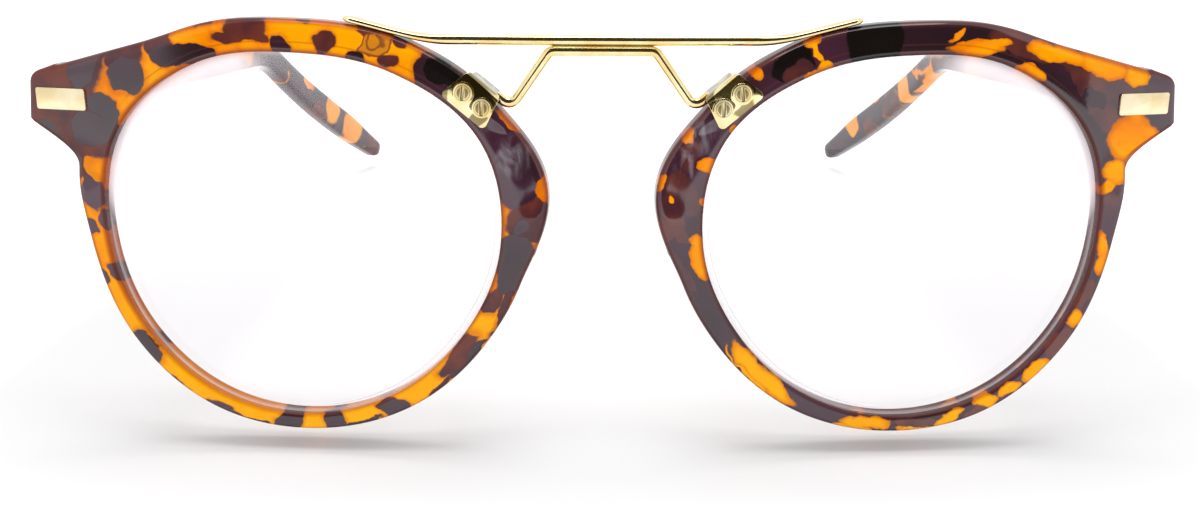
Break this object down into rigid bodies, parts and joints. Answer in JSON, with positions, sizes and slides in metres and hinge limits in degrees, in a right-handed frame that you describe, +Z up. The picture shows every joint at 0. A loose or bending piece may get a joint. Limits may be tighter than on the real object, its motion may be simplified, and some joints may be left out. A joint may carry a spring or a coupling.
{
  "type": "browline glasses",
  "caption": "Round tortoiseshell glasses with a gold brow bar, a gold bridge wire clipped to both rims, and temples that fold.",
  "frame": {"origin": "middle of the part's footprint on the surface that it stands on", "axes": "+Z up, +Y back from the front towards the temple tips, +X towards the wearer's left side"},
  "size_m": [0.1422, 0.1376, 0.0525],
  "materials": {
    "tortoise_rims": "polished amber and dark brown tortoiseshell sheet",
    "tortoise_temples": "polished amber and dark brown tortoiseshell sheet",
    "clear_lens": "clear, polished",
    "gold_wires": "polished pale gold",
    "gold_plates": "polished pale gold",
    "gold_screws": "polished pale gold",
    "gold_hinges": "polished pale gold",
    "champagne_plaques": "satin champagne gold"
  },
  "bodies": {
    "front": {"right_rim": "tortoise_rims", "left_rim": "tortoise_rims", "right_lens": "clear_lens", "left_lens": "clear_lens", "brow_bar": "gold_wires", "brow_bar_screws": "gold_screws", "bridge_wire": "gold_wires", "right_bridge_plate": "gold_plates", "left_bridge_plate": "gold_plates", "right_bridge_screws": "gold_screws", "left_bridge_screws": "gold_screws", "right_corner_plaque": "champagne_plaques", "left_corner_plaque": "champagne_plaques", "right_front_hinge": "gold_hinges", "left_front_hinge": "gold_hinges", "right_hinge_screw": "gold_screws", "left_hinge_screw": "gold_screws", "right_nose_pad": "tortoise_rims", "left_nose_pad": "tortoise_rims"},
    "right_temple_body": {"right_temple": "tortoise_temples", "right_temple_hinge": "gold_hinges"},
    "left_temple_body": {"left_temple": "tortoise_temples", "left_temple_hinge": "gold_hinges"}
  },
  "joints": [
    {"name": "right_temple_fold", "type": "hinge", "parent": "front", "child": "right_temple_body", "pos_m": [-0.06411, -0.05568, 0.0416], "axis": [0, -0.0893, -0.996], "range_deg": [0, 76]},
    {"name": "left_temple_fold", "type": "hinge", "parent": "front", "child": "left_temple_body", "pos_m": [0.06411, -0.05568, 0.0416], "axis": [0, 0.0893, 0.996], "range_deg": [0, 84]}
  ]
}
